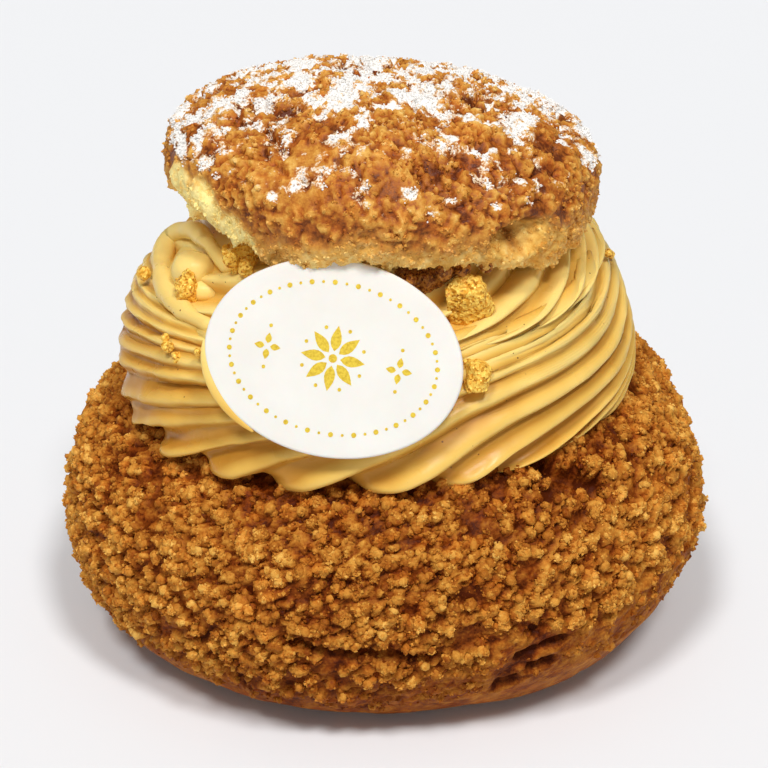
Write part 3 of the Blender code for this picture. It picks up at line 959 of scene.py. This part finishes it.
def build_plaque():
    sides = 160
    turn = 2 * math.pi * np.arange(sides) / sides
    inset = PLAQUE_EDGE * (1 - np.sin(np.linspace(0, 1, 6) * math.pi / 2))
    drop = PLAQUE_EDGE * (1 - np.cos(np.linspace(0, 1, 6) * math.pi / 2))
    rings = [(inset[0] + (PLAQUE_WIDTH / 2 - inset[0]) * share, 0.0)
             for share in np.linspace(0.97, 0, 12, endpoint=False)]
    rings += list(zip(inset, drop))
    rings += [(offset, PLAQUE_THICKNESS - depth) for offset, depth in zip(inset[::-1], drop[::-1])]
    rows = []
    for offset, depth in rings:
        share = 1 - offset / (PLAQUE_WIDTH / 2)
        long = (PLAQUE_LENGTH - PLAQUE_WIDTH) / 2 * min(1.0, share / 0.9) ** 0.8
        half = PLAQUE_WIDTH / 2 - offset
        rows.append(np.stack([(half + long) * np.cos(turn), half * np.sin(turn),
                              0 * turn - depth], axis=-1))
    points = np.vstack([np.concatenate(rows), rows[0].mean(0), rows[-1].mean(0)])
    faces = band_faces(len(rows), sides)
    points[:, :2] *= 1 + 0.004 * noise(points, 4 * MM, 900)[:, None]
    points[:, 2] += 0.03 * MM * noise(points * [1, 1, 0], 5 * MM, 910)
    shader = Shader("white chocolate", Roughness=0.5, Specular_IOR_Level=0.2,
                    Subsurface_Weight=0.2, Subsurface_Scale=1.0 * MM)
    shader.put("Base Color", shader.ramp(shader.noise(5 * MM), (0.3, (0.79, 0.765, 0.71)),
                                         (0.7, (0.82, 0.80, 0.75))))
    shader.bump(shader.noise(1.5 * MM), 0.01 * MM, 0.4)
    add_piece(make_mesh("plaque", on_plaque(points), faces), shader.material,
              "oval_plaque")


def petal(centre, direction, length, width, steps=7):
    """Outline of a pointed leaf lying flat, as points and triangles."""
    along = np.linspace(0, 1, steps)
    half = width / 2 * np.sin(math.pi * along ** 0.8)
    axis = np.array([math.cos(direction), math.sin(direction)])
    side = np.array([-axis[1], axis[0]])
    left = centre + along[:, None] * length * axis + half[:, None] * side
    right = centre + along[::-1, None] * length * axis - half[::-1, None] * side
    return np.vstack([left, right[1:-1]])


def disc(centre, radius, sides=10):
    turn = 2 * math.pi * np.arange(sides) / sides
    return centre + radius * np.stack([np.cos(turn), np.sin(turn)], axis=-1)


def slab(outline):
    """Thin raised shape over an outline that is seen whole from its middle."""
    count = len(outline)
    middle = outline.mean(0)
    low = np.column_stack([outline, np.full(count, -0.5 * FOIL_HEIGHT)])
    high = np.column_stack([middle + (outline - middle) * 0.96, np.full(count, FOIL_HEIGHT)])
    points = np.vstack([low, high, (*middle, FOIL_HEIGHT)])
    here = np.arange(count)
    after = (here + 1) % count
    walls = [np.stack([here, after, after + count], -1),
             np.stack([here, after + count, here + count], -1),
             np.stack([here + count, after + count, np.full(count, 2 * count)], -1)]
    return points, np.concatenate(walls)


def build_foil():
    """A generic gold pattern: a beaded oval, a rosette and two small flowers."""
    outlines = []
    for step in range(56):
        turn = 2 * math.pi * step / 56
        place = np.array([11.6 * MM * math.cos(turn), 8.3 * MM * math.sin(turn)])
        outlines.append(disc(place, (0.30 if step % 2 else 0.17) * MM))
    for step in range(8):
        turn = 2 * math.pi * step / 8
        heading = np.array([math.cos(turn), math.sin(turn)])
        outlines.append(petal(0.75 * MM * heading, turn, 2.9 * MM, 1.25 * MM))
        turn += math.pi / 8
        heading = np.array([math.cos(turn), math.sin(turn)])
        outlines.append(disc(3.5 * MM * heading, 0.22 * MM))
    outlines.append(disc(np.zeros(2), 0.5 * MM, 16))
    for side in (-1, 1):
        middle = np.array([side * 7.4 * MM, 0.0])
        for step in range(4):
            turn = math.pi / 2 * step
            heading = np.array([math.cos(turn), math.sin(turn)])
            outlines.append(petal(middle + 0.3 * MM * heading, turn, 1.2 * MM, 0.75 * MM))
        for height in (-2.3, 2.3):
            outlines.append(disc(middle + np.array([0.0, height * MM]), 0.22 * MM))
    points, faces = joined([slab(outline) for outline in outlines])
    shader = Shader("gold foil", Metallic=0.45, Roughness=0.35)
    shader.put("Base Color", shader.ramp(shader.noise(0.3 * MM), (0.3, (0.74, 0.47, 0.03)),
                                         (0.6, (0.95, 0.70, 0.07))))
    shader.bump(shader.noise(0.2 * MM), 0.02 * MM, 0.6)
    mesh = make_mesh("foil_pattern", on_plaque(points), faces,
                     smooth=False)
    add_piece(mesh, shader.material)


# ---------------------------------------------------------------- praline nuggets

def nugget_shader(name, dark, middle, bright, metal):
    shader = Shader(name, Metallic=metal, Specular_IOR_Level=0.3)
    spread = shader.add("ShaderNodeSeparateXYZ", Vector=shader.cells(0.26 * MM, "Color"))
    value = shader.total(spread.outputs["X"], shader.around(shader.noise(1.2 * MM), 0.4),
                         shader.around(shader.attribute("relief"), 0.6))
    shader.put("Base Color", shader.ramp(value, (0.10, dark), (0.5, middle), (0.9, bright)))
    shader.put("Roughness", shader.maths("MULTIPLY_ADD", spread.outputs["Y"], 0.4, 0.25))
    shader.bump(shader.cells(0.26 * MM), 0.08 * MM, 0.8)
    return shader.material


def chipped(points, cuts=11):
    """A lump with flat sides, as if broken off a larger piece."""
    middle = points.mean(axis=0)
    for heading in unit(rng.normal(size=(cuts, 3))):
        reach = (points - middle) @ heading
        over = np.maximum(reach - rng.uniform(0.58, 0.92) * reach.max(), 0)
        points = points - 0.85 * over[:, None] * heading
    return points


NUGGET_GROWTH = 1.10                 # makes up for what chipping takes off
# Small loose praline crumbs: place and radius in millimetres.
GOLD_CRUMBS = (
    ((-28.6, -4.2, 46.9), 0.75), ((-24.6, -18.4, 44.2), 0.70), ((-23.6, -19.0, 43.1), 0.55),
    ((-20.9, -22.2, 45.2), 0.45), ((-24.9, -17.6, 44.9), 0.35), ((-15.6, -16.4, 52.9), 0.90),
    ((-17.2, -15.6, 53.6), 0.70), ((27.6, 1.4, 46.9), 0.45), ((26.9, -0.8, 48.0), 0.40),
)
DARK_CRUMBS = (
    ((11.4, -19.6, 55.0), 1.10), ((8.6, -20.8, 54.8), 0.90), ((2.6, -22.8, 54.2), 0.80),
    ((14.2, -18.0, 54.8), 0.85), ((6.6, -22.0, 55.2), 0.80),
)


def small_crumbs(places, seed):
    """Rough little lumps at given places, as points, triangles and relief."""
    shape, triangles = ball(4)
    parts, beads = [], []
    for centre, radius in places:
        stretch = 1 + rng.uniform(-0.25, 0.25, size=3)
        points = chipped(shape * radius * MM * stretch + np.array(centre) * MM)
        bead = dome(cellular(points, 0.40 * MM, seed)[0], 0.38 * MM)
        rough = 0.16 * MM * bead + 0.25 * radius * MM * fractal(points, 1.0 * MM, seed + 5)
        parts.append((points + normals_of(points, triangles) * rough[:, None], triangles))
        beads.append(bead)
    return joined(parts), np.concatenate(beads)


def build_nuggets():
    gold = nugget_shader("gilt praline", (0.38, 0.13, 0.008), (0.76, 0.36, 0.030),
                         (0.96, 0.64, 0.12), 0.15)
    # A brighter, more orange copy of the gilt praline for the nugget in the lid's shade: partly its own orange
    # tone, partly painted light.
    orange_gilt_painted_light = nugget_shader("orange gilt praline with painted light", (0.52, 0.20, 0.012), (0.90, 0.46, 0.040),
                          (1.00, 0.70, 0.14), 0.10)
    brown = nugget_shader("dark praline", (0.09, 0.018, 0.002), (0.28, 0.080, 0.010),
                          (0.55, 0.22, 0.035), 0.0)
    directions, faces = ball(5)
    nodes = [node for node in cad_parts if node.startswith("nugget")]
    for order, node in enumerate(sorted(nodes)):
        points = skin_of(node, directions, faces, 3)
        normals = normals_of(points, faces)
        middle = points.mean(axis=0)
        points = chipped(middle + NUGGET_GROWTH * (points - middle))
        near, second, number = cellular(points, 0.42 * MM, 950 + 10 * order)
        bead = dome(near, 0.40 * MM)
        relief = 0.20 * MM * bead + 0.2 * MM * (number - 0.5)
        jagged = 0.9 if node == "nugget_left_upper" else 0.35
        relief += jagged * MM * fractal(points, 1.8 * MM, 955 + 10 * order)
        points = points + normals * relief[:, None]
        mesh = make_mesh(node + "_grains", points, faces, smooth=False, relief=bead)
        if node.endswith("dark"):
            add_piece(mesh, brown, node)
        elif node == "nugget_left_upper":
            add_piece(mesh, orange_gilt_painted_light, node)
        else:
            add_piece(mesh, gold, node)
    for name, places, material, slot in (("gold_crumbs", GOLD_CRUMBS, gold, "gilt_praline"),
                                         ("dark_crumbs", DARK_CRUMBS, brown, "dark_praline")):
        (points, triangles), bead = small_crumbs(places, 990)
        mesh = make_mesh(name, points, triangles, smooth=False, relief=bead)
        add_piece(mesh, material)


# ---------------------------------------------------------------- camera, light and floor

CAMERA_DISTANCE = 0.280
CAMERA_ELEVATION = math.radians(27)
CAMERA_TARGET = Vector((0.0, 0.0, 30 * MM))
CAMERA_LENS = 105.94


def add_camera():
    data = bpy.data.cameras.new("camera")
    data.sensor_width = 36.0
    data.lens = CAMERA_LENS
    data.clip_start = 0.01
    camera = bpy.data.objects.new("camera", data)
    bpy.context.scene.collection.objects.link(camera)
    back = Vector((0.0, -math.cos(CAMERA_ELEVATION), math.sin(CAMERA_ELEVATION)))
    camera.location = CAMERA_TARGET + back * CAMERA_DISTANCE
    camera.rotation_euler = (-back).to_track_quat("-Z", "Y").to_euler()
    bpy.context.scene.camera = camera


def add_sun(name, bearing, rise, strength, spread, shadow=True):
    """Light from a bearing and elevation in degrees; spread is its width in the sky."""
    data = bpy.data.lights.new(name, "SUN")
    data.energy = strength
    data.angle = math.radians(spread)
    data.use_shadow = shadow
    light = bpy.data.objects.new(name, data)
    bpy.context.scene.collection.objects.link(light)
    turn, up = math.radians(bearing), math.radians(rise)
    source = Vector((math.sin(turn) * math.cos(up), -math.cos(turn) * math.cos(up), math.sin(up)))
    light.rotation_euler = source.to_track_quat("Z", "Y").to_euler()


def add_studio():
    add_sun("right key", 27, 60, 1.52, 12)
    add_sun("left key", -25, 60, 1.50, 13)
    add_sun("overhead", 0, 85, 0.25, 60)
    add_sun("front wash", 0, 35, 0.24, 20, shadow=False)
    world = bpy.data.worlds.new("studio")
    world.use_nodes = True
    world.node_tree.nodes["Background"].inputs["Color"].default_value = (1.0, 0.99, 0.99, 1.0)
    world.node_tree.nodes["Background"].inputs["Strength"].default_value = 0.15
    bpy.context.scene.world = world
    bpy.context.scene.view_settings.view_transform = "Standard"

    mesh = make_mesh("floor", 1.5 * np.array([(-1, -1, 0), (1, -1, 0), (1, 1, 0), (-1, 1, 0)]),
                     np.array([(0, 1, 2), (0, 2, 3)]), smooth=False)
    shader = Shader("floor", Roughness=0.9, Specular_IOR_Level=0.2)
    shader.put("Base Color", (0.818, 0.826, 0.842))
    mesh.materials.append(shader.material)
    floor = bpy.data.objects.new("floor", mesh)
    floor.location.z = -0.05 * MM
    bpy.context.scene.collection.objects.link(floor)


build_base()
build_lid()
build_cream()
build_plaque()
build_foil()
build_nuggets()
add_camera()
add_studio()
